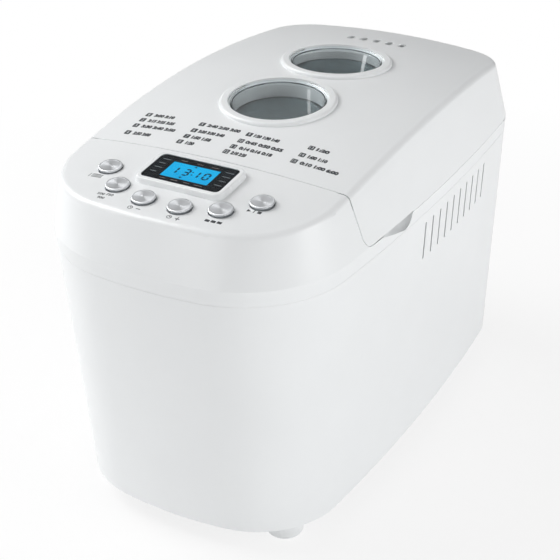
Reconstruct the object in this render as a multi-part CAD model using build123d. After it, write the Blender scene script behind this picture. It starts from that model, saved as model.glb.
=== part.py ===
"""Two-paddle bread machine, in millimetres. +Z is up, the front faces -Y, z = 0 is the floor.

The outer form is one envelope: a ruled loft through three outlines, capped by a large ball over the lid
and by a large tilted roll over the control panel. Lid, upper housing and lower body are cut from it.
"""

import math
import os

from build123d import *

# Overall size
length = 430.0
width = 241.0
height = 298.0
foot_height = 17.75
wall = 3.0

# Outline: how far each side bows outwards, and the corner radii at the three levels
side_bow = 10.0
front_bow = 19.0
rear_bow = 10.0
base_corners = (72.0, 30.0)
wide_corners = (84.0, 45.0)
top_corners = (60.0, 32.0)
base_inset_side = 8.8
base_inset_front = 22.7
base_inset_rear = 1.9
lean_side = 0.172
lean_front = 0.228
lean_rear = 0.349

# Levels and splits
lid_edge_z = height - 63.5
seam_z = lid_edge_z - 12.0
lid_gap = 1.2
seam_groove = 0.6
front_y = -length / 2
rear_y = length / 2
lid_front_y = front_y + 97.2
lid_front_z = lid_edge_z + 43.5
lid_front_lean = 0.27
lid_corner = 13.0
deck_z = lid_edge_z - lid_gap
top_edge_round = 5.0

# Lid crown and panel slope
ball_radius = 985.0
ball_y = lid_front_y + 158.8
panel_tilt = 7.17
roll_radius = 1000.0

# Oven chamber and pan
chamber_half_width = width / 2 - 27.5
chamber_front = lid_front_y + 17.3
chamber_rear = rear_y - 61.5
chamber_mid = (chamber_front + chamber_rear) / 2
chamber_corner = 25.0
sheet = 1.0
chamber_floor = foot_height + 60.25
chamber_flange = 4.5
pan_half_width = chamber_half_width - 23.0
pan_half_length = (chamber_rear - chamber_front) / 2 - 17.0
pan_corner = 22.0
pan_taper = 5.0
pan_wall = 1.8
pan_floor = chamber_floor + 18.0
pan_rim_z = deck_z - 17.3
pan_rim = 4.0
foot_half = (pan_half_width - 24.0, pan_half_length - 22.0)
shaft_spacing = 97.4
shaft_spots = {"front": chamber_mid - shaft_spacing / 2, "rear": chamber_mid + shaft_spacing / 2}

# Pan handle
handle_wire = 2.5
handle_pivot_z = pan_rim_z - 8.0
handle_arm = 50.0
handle_y = pan_half_length + pan_rim + 5.0
ear_hole = handle_wire + 0.35

# Lid windows
window_radius = 39.0
window_rim = 6.5
window_rim_height = 2.0
window_depth = 18.0
window_step = 1.5
cup_wall = 1.6
cup_floor = 3.0
liner_z = height - 25.0
liner_half_width = chamber_half_width + 3.0
liner_front = chamber_front + 6.0
liner_rear = chamber_rear + 6.0
lid_post_radius = 4.0
screw_radius = 1.5

# Lid hinge
hinge_y = rear_y - 5.5
hinge_z = lid_edge_z + 5.5
hinge_x = width / 2 - 58.5
knuckle_radius = 4.5
knuckle_width = 10.0
pin_radius = 2.0
pin_play = 0.06
hinge_boss = 6.0
hinge_side_gap = 0.6
rear_relief = 1.6

# Finger scoop under the lid edge
scoop_y = lid_front_y + 73.8
scoop_radius = 11.0
scoop_reach = 46.0
scoop_pad = 15.0

# Vents
vent_count = 10
vent_pitch = 14.14
vent_first_y = lid_front_y + 113.0
vent_width = 2.2
vent_length = 32.0
vent_z = seam_z - 25.4
steam_count = 5
steam_pitch = 12.0
steam_y = rear_y - 64.0
steam_width = 6.0
steam_length = 10.5

# Buttons, placed on the panel by x and by the distance in front of the lid
button_radius = 8.7
button_gap = 0.4
button_rise = 3.2
button_lip = 1.6
button_travel = 1.0
button_spots = {
    "menu": (-62.4, -39.2),
    "weight": (-42.1, -59.7),
    "time_down": (-14.6, -68.1),
    "time_up": (14.6, -68.1),
    "crust": (42.1, -59.7),
    "start": (62.4, -39.2),
}
switch_size = 6.0
switch_height = 5.0

# Display
display_y = -30.6
lens_size = (64.4, 33.0)
lens_corner = 4.0
lens_thick = 0.9
mask_thick = 0.3
screen_size = (38.6, 20.2)
frame_border = 4.8
frame_draft = 1.6
frame_rise = 4.0
ledge = 2.2
display_thick = 6.0
board_drop = 14.0
board_thick = 1.6
board_size = (136.0, 68.0)
board_y = -40.0
board_posts = [(-60.0, -11.0), (60.0, -11.0), (-60.0, -68.0), (60.0, -68.0)]

# Base and feet
lip = 3.0
lip_thick = 2.25
base_z = foot_height + lip_thick
base_thick = 3.0
base_top = base_z + base_thick
base_fit = 0.3
foot_radius = 14.5
foot_half_x = width / 2 - 46.0
foot_front = front_y + 67.0
foot_rear = rear_y - 36.0
foot_spots = [(x, y) for x in (-foot_half_x, foot_half_x) for y in (foot_front, foot_rear)]
gland_radius = 7.0
gland_flange = 11.0

# Drive train
drive_shaft_radius = 4.0
run_clearance = 0.05
bracket_z = base_top + 35.0
bracket_thick = 2.0
bracket_half_width = 66.0
bearing_radius = 11.0
bush_radius = 7.0
bearing_low = bracket_z - 4.0
bearing_high = bracket_z + 11.0
belt_width = 7.0
belt_thick = 2.0
belt_gap = 0.3
link_belt_z = base_top + 9.0
drive_belt_z = link_belt_z + belt_width + 3.0
flange_thick = 1.2
flange_rise = 2.6
big_radius = 40.0
link_radius = 25.0
small_radius = 8.0
dog_radius = 12.0
dog_z = chamber_floor + 1.5
dog_thick = 3.5
dog_lug = 8.0
drive_hole = dog_radius + 1.5

# Motor
motor_y = chamber_front - 47.5
motor_plate_z = bracket_z - 3.0
motor_plate_thick = 2.0
motor_half = (36.0, 29.0)
stack_height = 32.0
bell_height = 13.0
bell_radius = 27.0
motor_shaft_radius = 3.0
motor_post = (34.0, 24.0)
post_radius = 5.0
board_x = width / 2 - 58.5

# Heater
heater_radius = 3.25
heater_z = chamber_floor + 26.0
heater_inset = 9.0
heater_leg = 14.0
heater_bend = 16.0
heater_tail = 12.0
bushing_radius = 6.5
sensor_radius = 2.75


def outline(z, half_width, front, rear, corners, inset):
    """One bowed rectangle with rounded corners, moved inwards by inset."""
    half = half_width - inset
    low = front + inset
    high = rear - inset
    edge_x = half - side_bow
    edge_low = low + front_bow
    edge_high = high - rear_bow
    middle = (edge_low + edge_high) / 2
    arcs = [
        ThreePointArc((-edge_x, edge_low), (0, low), (edge_x, edge_low)),
        ThreePointArc((edge_x, edge_low), (half, middle), (edge_x, edge_high)),
        ThreePointArc((edge_x, edge_high), (0, high), (-edge_x, edge_high)),
        ThreePointArc((-edge_x, edge_high), (-half, middle), (-edge_x, edge_low)),
    ]
    face = make_face(arcs)
    face = fillet(face.vertices().filter_by(lambda v: v.Y < edge_low + 0.1), corners[0] - inset)
    face = fillet(face.vertices().filter_by(lambda v: v.Y > edge_high - 0.1 and abs(v.X) > edge_x - 0.1),
                  corners[1] - inset)
    return Pos(0, 0, z) * face


def base_outline(inset):
    """Outline at the bottom edge of the lower body."""
    return outline(foot_height, width / 2 - base_inset_side, front_y + base_inset_front,
                   rear_y - base_inset_rear, base_corners, inset)


def envelope(inset):
    """The outer form from the bottom edge to above the lid, moved inwards by inset."""
    wide = outline(lid_edge_z, width / 2, front_y, rear_y, wide_corners, inset)
    rise = height + 10 - lid_edge_z
    top = outline(lid_edge_z + rise, width / 2 - lean_side * rise, front_y + lean_front * rise,
                  rear_y - lean_rear * rise, top_corners, inset)
    return loft([base_outline(inset), wide, top], ruled=True)


def ball(inset):
    """The large ball that crowns the lid; its poles lie far out to the sides."""
    return Pos(0, ball_y, height - ball_radius) * Rot(0, 90, 0) * Sphere(ball_radius - inset)


def ball_top(y, x=0.0):
    """Height of the lid crown at a place."""
    return height - ball_radius + math.sqrt(ball_radius ** 2 - (y - ball_y) ** 2 - x ** 2)


tilt = math.radians(panel_tilt)
panel = Plane(origin=(0, lid_front_y, ball_top(lid_front_y)), x_dir=(1, 0, 0),
              z_dir=(0, -math.sin(tilt), math.cos(tilt)))


def roll(inset):
    """The large roll that crowns the control panel."""
    return panel * Pos(0, 0, -roll_radius) * Rot(90, 0, 0) * Cylinder(roll_radius - inset, 3 * length)


def panel_drop(x):
    """How far the crowned panel lies below its middle line at x."""
    return roll_radius - math.sqrt(roll_radius ** 2 - x ** 2)


def block(low, high, front=-300.0, rear=300.0, half=200.0):
    """A box from z low to z high, centred on x."""
    return Pos(0, (front + rear) / 2, (low + high) / 2) * Box(2 * half, rear - front, high - low)


def rod(x, y, low, high, radius):
    """An upright cylinder."""
    return Pos(x, y, (low + high) / 2) * Cylinder(radius, high - low)


def ring(x, y, low, high, radius, bore):
    """An upright tube."""
    return rod(x, y, low, high, radius) - rod(x, y, low - 1, high + 1, bore)


def cross_rod(x, y, z, span, radius):
    """A cylinder along X."""
    return Pos(x, y, z) * Rot(0, 90, 0) * Cylinder(radius, span)


def rounded_slab(half_x, low_y, high_y, corner, low, high):
    """A flat plate with rounded corners."""
    face = Pos(0, (low_y + high_y) / 2, low) * RectangleRounded(2 * half_x, high_y - low_y, corner)
    return extrude(face, high - low)


def panel_slab(size, corner, low, high, y):
    """A rounded plate lying on the panel plane."""
    return panel * Pos(0, y, low) * extrude(RectangleRounded(size[0], size[1], corner), high - low)


def panel_rod(x, y, low, high, radius):
    """A cylinder along the panel normal."""
    return panel * rod(x, y, low, high, radius)


def lid_zone(grow, low=None):
    """The space the lid takes, grown by a margin: leaning front, flat lower edge, rounded corner."""
    low = lid_edge_z - grow if low is None else low
    high = height + 30
    shift = lid_front_y - grow * math.hypot(1, lid_front_lean)
    low_y = shift + lid_front_lean * (lid_front_z - low)
    high_y = shift + lid_front_lean * (lid_front_z - high)
    far = rear_y + 60
    face = make_face(Polyline((high_y, high), (low_y, low), (far, low), (far, high), close=True))
    corner = face.vertices().sort_by_distance((low_y, low, 0))[0]
    sides = extrude(Plane.YZ * fillet(corner, lid_corner + grow), width, both=True)
    middle = extrude(Plane.YZ * face, liner_half_width + 4 + grow, both=True)
    return sides + middle


def seam_ring():
    """The shallow groove that marks the joint between lower body and upper housing."""
    slab = block(seam_z - seam_groove / 2, seam_z + seam_groove / 2)
    return (envelope(0) & slab) - envelope(seam_groove)


def round_top(solid, radius):
    """Round the long top edge of a solid, all but the edge along the lid front."""
    crowns = solid.faces().filter_by(lambda f: f.geom_type in (GeomType.SPHERE, GeomType.CYLINDER))
    top = crowns.sort_by(SortBy.AREA)[-1]
    edges = [e for e in top.edges() if abs(e.center().Y - lid_front_y) > 2 * top_edge_round]
    return fillet(edges, radius)


def lower_body():
    """Tapered shell with an inner lip that carries the base plate, and side vents."""
    shell = (envelope(0) & block(foot_height, seam_z)) - (envelope(wall) & block(base_z, seam_z + 1))
    shell -= extrude(base_outline(wall + lip), 2 * lip_thick, both=True)
    slot = SlotOverall(vent_length, vent_width, rotation=90)
    for index in range(vent_count):
        place = Pos(vent_first_y + index * vent_pitch, vent_z)
        shell -= extrude(Plane.YZ * place * slot, width, both=True)
    shell -= gland_place() * Cylinder(gland_radius, 6 * wall)
    return shell - seam_ring()


def gland_place():
    """Where the supply cord leaves: on the back, low and to one side."""
    return Pos(-width / 4, rear_y - base_inset_rear - 5, foot_height + 32) * Rot(90, 0, 0)


def cable_gland():
    """Sleeve with an outer flange trimmed to the back wall, and an inner collar."""
    sleeve = Cylinder(gland_radius, 4 * wall) - Cylinder(gland_radius - 3, 6 * wall)
    flange = Pos(0, 0, -2) * Cylinder(gland_flange, 6) - Cylinder(gland_radius - 1, 6 * wall)
    outer = (gland_place() * flange) - envelope(0)
    return outer + (gland_place() * sleeve)


def base_plate():
    """Floor plate with posts for the drive, the motor and the power board, and slots for air."""
    face = Pos(0, 0, lip_thick) * base_outline(wall + base_fit)
    plate = extrude(face, base_thick)
    for x, y in bracket_posts():
        plate += rod(x, y, base_z, bracket_z, post_radius)
    for x, y in motor_posts():
        plate += rod(x, y, base_z, motor_plate_z, post_radius)
    for y in (motor_y - 20, motor_y + 20):
        rail = Pos(-board_x, y, base_top + 4) * Box(8, 8, 8)
        plate += rail - Pos(-board_x, y, base_top + 6) * Box(board_thick, 9, 8)
    slot = SlotOverall(60, 4)
    for index in range(5):
        plate -= extrude(Pos(0, motor_y - 24 + 12 * index, base_z - 1) * slot, base_thick + 2)
    for x, y in screw_spots():
        plate -= rod(x, y, base_z - 1, base_top + 1, screw_radius)
    return plate


def bracket_posts():
    return [(x, y) for x in (-bracket_half_width + 8, bracket_half_width - 8)
            for y in (shaft_spots["front"] - 30, shaft_spots["rear"] + 30)]


def motor_posts():
    return [(x, motor_y + y) for x in (-motor_post[0], motor_post[0])
            for y in (-motor_post[1], motor_post[1])]


def screw_spots():
    """Two screws beside each foot hold the foot to the base plate."""
    return [(x, y + step) for x, y in foot_spots for step in (-6, 6)]


def feet():
    """Four round feet, hollow below for the screws."""
    solid = []
    for x, y in foot_spots:
        foot = rod(x, y, 0, base_z, foot_radius)
        foot = fillet(foot.faces().sort_by(Axis.Z)[0].edges(), 4)
        for step in (-6, 6):
            foot -= rod(x, y + step, -1, base_z - 3, 3.4)
            foot -= rod(x, y + step, 0, base_z + 1, screw_radius)
        solid.append(foot)
    return Compound(solid)


def base_screws():
    """Screws that go up through the feet into the base plate."""
    return Compound([rod(x, y, base_z - 5, base_z - 3, 3) + rod(x, y, base_z - 4, base_top, screw_radius)
                     for x, y in screw_spots()])


def upper_housing():
    """Control panel, front, partition and deck in one shell, with scoops and hinge knuckles."""
    low = block(seam_z, height + 20)
    outer = (envelope(0) & roll(0) & low) - lid_zone(lid_gap)
    outer = round_top(outer, top_edge_round)
    inner = (envelope(wall) & roll(wall)) - lid_zone(lid_gap + wall)
    shell = outer - inner
    pads = envelope(wall / 2) & block(seam_z, deck_z, scoop_y - scoop_reach - 4, scoop_y + scoop_radius + 4)
    shell += pads - block(seam_z - 1, deck_z + 1, half=width / 2 - scoop_pad)
    shell -= block(deck_z - rear_relief, deck_z + 1, rear_y - 18)
    for side in (-1, 1):
        shell -= Pos(side * width / 2, scoop_y, lid_edge_z) * scoop()
        shell += knuckle(side * hinge_x)
        shell -= cross_rod(side * hinge_x, hinge_y, hinge_z, knuckle_width + 2, pin_radius + pin_play)
    shell -= rounded_slab(chamber_half_width + sheet, chamber_front - sheet, chamber_rear + sheet,
                          chamber_corner + sheet, seam_z - 1, deck_z + 1)
    for x, y in button_spots.values():
        shell -= panel_rod(x, y, -3 * wall, wall, button_radius + button_gap)
    opening = (lens_size[0] - 2 * ledge, lens_size[1] - 2 * ledge)
    shell -= panel_slab(opening, lens_corner - ledge, -2 * wall, wall, display_y)
    for x, y in board_posts:
        post = panel_rod(x, y, -board_drop, -wall / 2 - panel_drop(x), post_radius - 1.5)
        shell += post - panel_rod(x, y, -board_drop - 1, -wall - panel_drop(x), screw_radius)
    return shell - seam_ring()


def scoop():
    """Finger scoop: a ball at the back running out to a point towards the front."""
    half_angle = math.asin(scoop_radius / scoop_reach)
    near = scoop_radius * math.sin(half_angle)
    foot = scoop_radius * math.cos(half_angle)
    cone = Pos(0, (-scoop_reach - near) / 2, 0) * Rot(90, 0, 0) * Cone(foot, 0.05, scoop_reach - near)
    return Sphere(scoop_radius) + cone


def knuckle(x):
    """Hinge knuckle standing on the deck at the back."""
    stem = Pos(x, hinge_y - 1.5, (seam_z + hinge_z) / 2 + 4) * Box(knuckle_width, 2 * knuckle_radius - 3,
                                                                   hinge_z - seam_z - 8)
    return stem + cross_rod(x, hinge_y, hinge_z, knuckle_width, knuckle_radius)


def window_plane(y):
    """Plane on the lid crown at a window, with its normal along the crown."""
    tip = (y - ball_y) / ball_radius
    return Plane(origin=(0, y, ball_top(y)), x_dir=(1, 0, 0), z_dir=(0, tip, math.sqrt(1 - tip ** 2)))


def lid_posts():
    """Where the liner is screwed to the lid."""
    return [(x, y) for x in (-liner_half_width + 9, liner_half_width - 9)
            for y in (liner_front + 12, (liner_front + liner_rear) / 2, liner_rear - 12)]


def lid_cover():
    """Crowned lid with raised window rims, steam slots, liner posts and hinge bosses."""
    outer = round_top(envelope(0) & ball(0) & lid_zone(0), top_edge_round)
    skin = envelope(wall) & ball(wall)
    cover = outer - (skin & lid_zone(-wall, lid_edge_z - 2 * wall))
    middle = envelope(wall / 2) & ball(wall / 2)
    for x, y in lid_posts():
        cover += rod(x, y, liner_z + sheet, height, lid_post_radius) & middle
        cover -= rod(x, y, liner_z - 1, liner_z + 8, screw_radius)
    for y in shaft_spots.values():
        place = window_plane(y)
        cover += place * window_rim_solid()
        cover -= place * rod(0, 0, -wall + 1, 2 * wall, window_radius)
        cover -= place * rod(0, 0, -3 * wall, 0, window_radius - window_step)
    slot = SlotOverall(steam_length, steam_width, rotation=90)
    for index in range(steam_count):
        x = (index - (steam_count - 1) / 2) * steam_pitch
        cover -= extrude(Pos(x, steam_y, liner_z + 2) * slot, height)
    for side in (-1, 1):
        cover = hinge_end(cover, side * hinge_x, middle)
    return cover


def window_rim_solid():
    """Raised ring round a window, rounded on top, reaching down into the lid skin."""
    outer = window_radius + window_rim
    tube = ring(0, 0, -wall / 2, window_rim_height, outer, window_radius - 1)
    top = tube.edges().filter_by(GeomType.CIRCLE).group_by(Axis.Z)[-1].sort_by(SortBy.RADIUS)
    return fillet(top[-1], window_rim_height)


def hinge_end(cover, x, middle):
    """Notch for one knuckle and the two bosses that hold its pin."""
    notch = knuckle_width / 2 + hinge_side_gap
    for side in (-1, 1):
        at = x + side * (notch + hinge_boss / 2)
        cover += cross_rod(at, hinge_y, hinge_z, hinge_boss, knuckle_radius)
        cover += (Pos(at, hinge_y - 2, hinge_z + 4) * Box(hinge_boss, 6, 8)) & middle
    top = hinge_z + knuckle_radius + 1
    cover -= Pos(x, hinge_y, (top + seam_z) / 2) * Box(2 * notch, 30, top - seam_z)
    return cover - cross_rod(x, hinge_y, hinge_z, 2 * (notch + hinge_boss), pin_radius)


def hinge_pins():
    """Two steel pins, held in the lid and turning in the knuckles."""
    span = knuckle_width + 2 * hinge_side_gap + 2 * hinge_boss
    return Compound([cross_rod(side * hinge_x, hinge_y, hinge_z, span, pin_radius) for side in (-1, 1)])


def lid_liner():
    """Flat sheet below the lid with two window holes and steam slots."""
    plate = rounded_slab(liner_half_width, liner_front, liner_rear, chamber_corner, liner_z, liner_z + sheet)
    for y in shaft_spots.values():
        plate -= rod(0, y, liner_z - 1, liner_z + 2, window_radius - 5)
    slot = SlotOverall(steam_length, steam_width / 2, rotation=90)
    for index in range(steam_count):
        x = (index - (steam_count - 1) / 2) * steam_pitch
        plate -= extrude(Pos(x, chamber_rear - 14, liner_z - 1) * slot, 3)
    for x, y in lid_posts():
        plate -= rod(x, y, liner_z - 1, liner_z + 2, screw_radius)
    return plate


def lid_screws():
    """Screws that hold the liner to the lid posts."""
    return Compound([rod(x, y, liner_z - 1.8, liner_z, 3.4)
                     + rod(x, y, liner_z - 1, liner_z + 8, screw_radius) for x, y in lid_posts()])


def window_cup(y):
    """Clear cup hanging in the lid by a flange, with a flat floor."""
    flange = window_radius - 0.3
    neck = window_radius - window_step - 0.3
    shelf = -wall + 1
    low = -window_depth
    floor = low + cup_floor
    points = [(0, low), (neck - 2, low), (neck, shelf), (flange, shelf), (flange, 0.8), (flange - 2, 0.8),
              (neck - cup_wall, shelf), (neck - 2 - cup_wall, floor), (0, floor)]
    profile = make_face(Polyline(*points, close=True))
    return window_plane(y) * revolve(Plane.XZ * profile, Axis.Z)


def display_frame():
    """Raised frame seated on the crowned panel, with a ledge for mask and lens."""
    foot = (lens_size[0] + 2 * frame_border, lens_size[1] + 2 * frame_border)
    top = (foot[0] - 2 * frame_draft, foot[1] - 2 * frame_draft)
    corner = lens_corner + frame_border
    low = Pos(0, display_y, -wall) * RectangleRounded(foot[0], foot[1], corner)
    high = Pos(0, display_y, frame_rise) * RectangleRounded(top[0], top[1], corner - frame_draft)
    solid = loft([low, high])
    solid = fillet(solid.faces().sort_by(Axis.Z)[-1].edges(), 1.2)
    seat = frame_rise - lens_thick - mask_thick
    hole = (lens_size[0] - 2 * ledge, lens_size[1] - 2 * ledge)
    loose = (lens_size[0] + 0.2, lens_size[1] + 0.2)
    frame = (panel * solid) - roll(0)
    frame -= panel_slab(loose, lens_corner, seat, frame_rise + 1, display_y)
    return frame - panel_slab(hole, lens_corner - ledge, -6, frame_rise, display_y)


def display_mask():
    """Thin dark mask with the screen opening."""
    low = frame_rise - lens_thick - mask_thick
    plate = panel_slab(lens_size, lens_corner, low, low + mask_thick, display_y)
    return plate - panel_slab(screen_size, 0.5, low - 1, low + 2, display_y)


def display_lens():
    """Clear cover over the mask."""
    return panel_slab(lens_size, lens_corner, frame_rise - lens_thick, frame_rise, display_y)


def display_panel():
    """Liquid-crystal panel with its light guide, just under the mask."""
    high = frame_rise - lens_thick - mask_thick
    size = (screen_size[0] + 8, screen_size[1] + 6)
    return panel_slab(size, 1, high - display_thick, high, display_y)


def display_holder():
    """Open frame that carries the display panel on the control board."""
    high = frame_rise - lens_thick - mask_thick - display_thick
    size = (screen_size[0] + 8, screen_size[1] + 6)
    inside = (size[0] - 6, size[1] - 6)
    return (panel_slab(size, 1, -board_drop, high, display_y)
            - panel_slab(inside, 1, -board_drop - 1, high + 1, display_y))


def control_board():
    """Board under the panel."""
    plate = panel_slab(board_size, 6, -board_drop - board_thick, -board_drop, board_y)
    for x, y in board_posts:
        plate -= panel_rod(x, y, -board_drop - 3, -board_drop + 1, screw_radius)
    return plate


def board_screws():
    """Screws that hold the control board to the panel posts."""
    low = -board_drop - board_thick
    return Compound([panel_rod(x, y, low - 1.6, low, 3) + panel_rod(x, y, low - 1, low + 8, screw_radius)
                     for x, y in board_posts])


def push_switches():
    """One push switch on the board under each button."""
    switches = []
    for x, y in button_spots.values():
        tall = switch_height - 1.5
        body = Pos(x, y, -board_drop + tall / 2) * Box(switch_size, switch_size, tall)
        body += rod(x, y, -board_drop + tall - 0.5, -board_drop + switch_height, 1.75)
        switches.append(panel * body)
    return Compound(switches)


def button(x, y):
    """Domed button with a retaining lip under the panel and a stem above its switch."""
    drop = -panel_drop(x)
    cap = rod(x, y, drop - wall, drop + button_rise, button_radius)
    cap = fillet(cap.edges().sort_by(Axis.Z)[-1], 0.8)
    under = -wall - panel_drop(abs(x) + button_radius + button_lip) - button_gap
    cap += rod(x, y, under - 1.2, under, button_radius + button_lip)
    cap += rod(x, y, under - 0.5, drop - wall + 0.5, button_radius)
    cap += rod(x, y, -board_drop + switch_height + button_travel + 0.3, under, 2.2)
    return panel * cap


def oven_chamber():
    """Deep sheet box with a flange that lies on the deck."""
    outer = rounded_slab(chamber_half_width + sheet, chamber_front - sheet, chamber_rear + sheet,
                         chamber_corner + sheet, chamber_floor - sheet, deck_z)
    outer += rounded_slab(chamber_half_width + chamber_flange, chamber_front - chamber_flange,
                          chamber_rear + chamber_flange, chamber_corner + chamber_flange,
                          deck_z, deck_z + sheet)
    box = outer - rounded_slab(chamber_half_width, chamber_front, chamber_rear, chamber_corner,
                               chamber_floor, deck_z + 2)
    for y in shaft_spots.values():
        box -= rod(0, y, chamber_floor - 3, chamber_floor + 1, drive_hole)
    for x in (-heater_leg, heater_leg):
        box -= Pos(x, chamber_front, heater_z) * Rot(90, 0, 0) * Cylinder(bushing_radius, 6)
    return box - sensor_place() * Cylinder(sensor_radius, 12)


def sensor_place():
    """Where the temperature probe passes through the front wall of the chamber."""
    return Pos(chamber_half_width / 2, chamber_front, chamber_floor + 50) * Rot(90, 0, 0)


def temperature_sensor():
    """Probe tube with a flange outside the chamber."""
    probe = Pos(0, 0, -1) * Cylinder(sensor_radius, 20)
    flange = Pos(0, 0, sheet + 1) * Cylinder(7, 2)
    return sensor_place() * (probe + flange)


def thermal_fuse():
    """Small fuse lying against the outside of the chamber front wall in a clip."""
    place = Pos(-chamber_half_width / 2, chamber_front - sheet, chamber_floor + 60)
    body = Pos(0, -3, 0) * Rot(0, 90, 0) * Cylinder(2.5, 20)
    return place * (body + Pos(0, -2.75, 0) * Box(8, 5.5, 8))


def heating_element():
    """Tubular heater that runs once round the pan and leaves through the front wall."""
    side = chamber_half_width - heater_inset
    low = chamber_front + heater_inset
    high = chamber_rear - heater_inset
    tail = chamber_front - heater_tail
    path = FilletPolyline((-heater_leg, tail), (-heater_leg, low), (-side, low), (-side, high), (side, high),
                          (side, low), (heater_leg, low), (heater_leg, tail), radius=heater_bend / 2)
    path = Pos(0, 0, heater_z) * path
    return sweep(Plane(origin=path @ 0, z_dir=path % 0) * Circle(heater_radius), path)


def heater_clips():
    """Brackets on the side and back walls that carry the heater."""
    reach = heater_inset
    clips = []
    for side in (-1, 1):
        for y in (chamber_mid - 50, chamber_mid + 50):
            clips.append(Pos(side * (chamber_half_width - reach / 2), y, heater_z) * Box(reach, 8, 9))
    clips.append(Pos(0, chamber_rear - reach / 2, heater_z) * Box(8, reach, 9))
    return Compound([clip - heating_element() for clip in clips])


def heater_bushings():
    """Ceramic bushings where the heater passes through the chamber wall."""
    solid = []
    for x in (-heater_leg, heater_leg):
        tube = Pos(0, 0, sheet / 2) * Cylinder(bushing_radius, sheet)
        tube += Pos(0, 0, sheet + 2) * Cylinder(bushing_radius + 2, 4)
        solid.append(Pos(x, chamber_front, heater_z) * Rot(90, 0, 0) * (tube - Cylinder(heater_radius, 20)))
    return Compound(solid)


def pan_clips():
    """Spring clips on the chamber floor at both ends of the pan foot."""
    clips = []
    for side in (-1, 1):
        at = chamber_mid + side * (foot_half[1] + 1.2)
        leaf = Pos(0, at, chamber_floor + 6) * Box(24, 1.2, 12)
        leaf += Pos(0, at + side * 3.4, chamber_floor + 0.6) * Box(24, 8, 1.2)
        clips.append(leaf)
    return Compound(clips)


def pan_loft(inset, low, high):
    """Tapered pan form between two levels."""
    def level(z, shrink):
        size = (2 * (pan_half_width - shrink), 2 * (pan_half_length - shrink))
        return Pos(0, chamber_mid, z) * RectangleRounded(size[0], size[1], pan_corner - inset)
    return loft([level(low, inset + pan_taper), level(high, inset)])


def bread_pan():
    """Deep-drawn pan with a rounded floor edge and an outward rim."""
    outer = pan_loft(0, pan_floor, pan_rim_z)
    outer = fillet(outer.faces().sort_by(Axis.Z)[0].edges(), 9)
    inner = pan_loft(pan_wall, pan_floor + pan_wall, pan_rim_z + 0.01)
    inner = fillet(inner.faces().sort_by(Axis.Z)[0].edges(), 7)
    reach = pan_half_length + pan_rim
    rim = rounded_slab(pan_half_width + pan_rim, chamber_mid - reach, chamber_mid + reach,
                       pan_corner + pan_rim, pan_rim_z - 2, pan_rim_z)
    rim = fillet(rim.faces().sort_by(Axis.Z)[-1].edges(), 0.9)
    pan = outer + rim - inner
    for y in shaft_spots.values():
        pan -= rod(0, y, pan_floor - 1, pan_floor + 4, bush_radius)
    return pan


def pan_foot():
    """Standing ring under the pan that locates it between the clips."""
    low = chamber_mid - foot_half[1]
    high = chamber_mid + foot_half[1]
    outer = rounded_slab(foot_half[0], low, high, 14, chamber_floor, pan_floor)
    return outer - rounded_slab(foot_half[0] - 2, low + 2, high - 2, 12, chamber_floor - 1, pan_floor + 1)


def pan_ears():
    """Two ears on the end walls that carry the handle."""
    ears = []
    form = pan_loft(0, pan_floor, pan_rim_z)
    for side in (-1, 1):
        reach = pan_half_length + pan_rim
        ear = Pos(0, chamber_mid + side * (reach - 5), handle_pivot_z - 1) * Box(18, 10, 13)
        ear -= form
        pivot = Pos(0, chamber_mid, handle_pivot_z) * Rot(90, 0, 0)
        ears.append(ear - pivot * Cylinder(ear_hole, 2 * length))
    return Compound(ears)


def pan_handle():
    """Bail handle, modelled folded down beside the rim."""
    lift = pan_rim_z + handle_wire + 1 - handle_pivot_z
    across = math.sqrt(handle_arm ** 2 - lift ** 2)
    inner = handle_y - 8
    path = FilletPolyline((0, -inner, 0), (0, -handle_y, 0), (-across, -handle_y, lift),
                          (-across, handle_y, lift), (0, handle_y, 0), (0, inner, 0), radius=3.2)
    path = Pos(0, chamber_mid, handle_pivot_z) * path
    return sweep(Plane(origin=path @ 0, z_dir=path % 0) * Circle(handle_wire), path)


def pan_bushes():
    """Bearing and seal housings in the pan floor."""
    low = dog_z + dog_thick + dog_lug + 1.5
    return Compound([ring(0, y, low, pan_floor + 4, bush_radius, drive_shaft_radius + run_clearance)
                     + ring(0, y, low, pan_floor, bearing_radius, bush_radius)
                     for y in shaft_spots.values()])


def paddle_shaft(y):
    """Pan shaft with a cross wing below that the drive dog turns."""
    wing_low = dog_z + dog_thick + 1
    shaft = rod(0, y, wing_low, pan_floor + 26, drive_shaft_radius)
    return shaft + Pos(0, y, wing_low + 3.5) * Box(5, 2 * dog_radius - 3, 7)


def kneading_paddle(y):
    """Hub with one swept blade."""
    low = pan_floor + 5
    hub = rod(0, y, low, pan_floor + 26, 9)
    foot = Pos(0, y + 20, low) * Rectangle(7, 36)
    top = Pos(2.5, y + 15, low + 18) * Rectangle(3.5, 26)
    blade = loft([foot, top])
    blade = fillet(blade.edges().filter_by(Axis.X, tolerance=30).sort_by(Axis.Y)[-1], 1.2)
    return hub + blade - rod(0, y, low - 1, pan_floor + 26, drive_shaft_radius)


def drive_bracket():
    """Steel plate on four posts with two bearing housings."""
    low = shaft_spots["front"] - 40
    high = shaft_spots["rear"] + 40
    plate = rounded_slab(bracket_half_width, low, high, 12, bracket_z, bracket_z + bracket_thick)
    for y in shaft_spots.values():
        plate += rod(0, y, bearing_low, bearing_high, bearing_radius)
    for y in shaft_spots.values():
        plate -= rod(0, y, bearing_low - 1, bearing_high + 1, bush_radius)
    return plate


def bearing_bushes():
    """Plain bushes in the bearing housings."""
    return Compound([ring(0, y, bearing_low, bearing_high, bush_radius, drive_shaft_radius + run_clearance)
                     for y in shaft_spots.values()])


def drive_shaft(y):
    return rod(0, y, link_belt_z - 3, dog_z + dog_thick, drive_shaft_radius)


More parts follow.
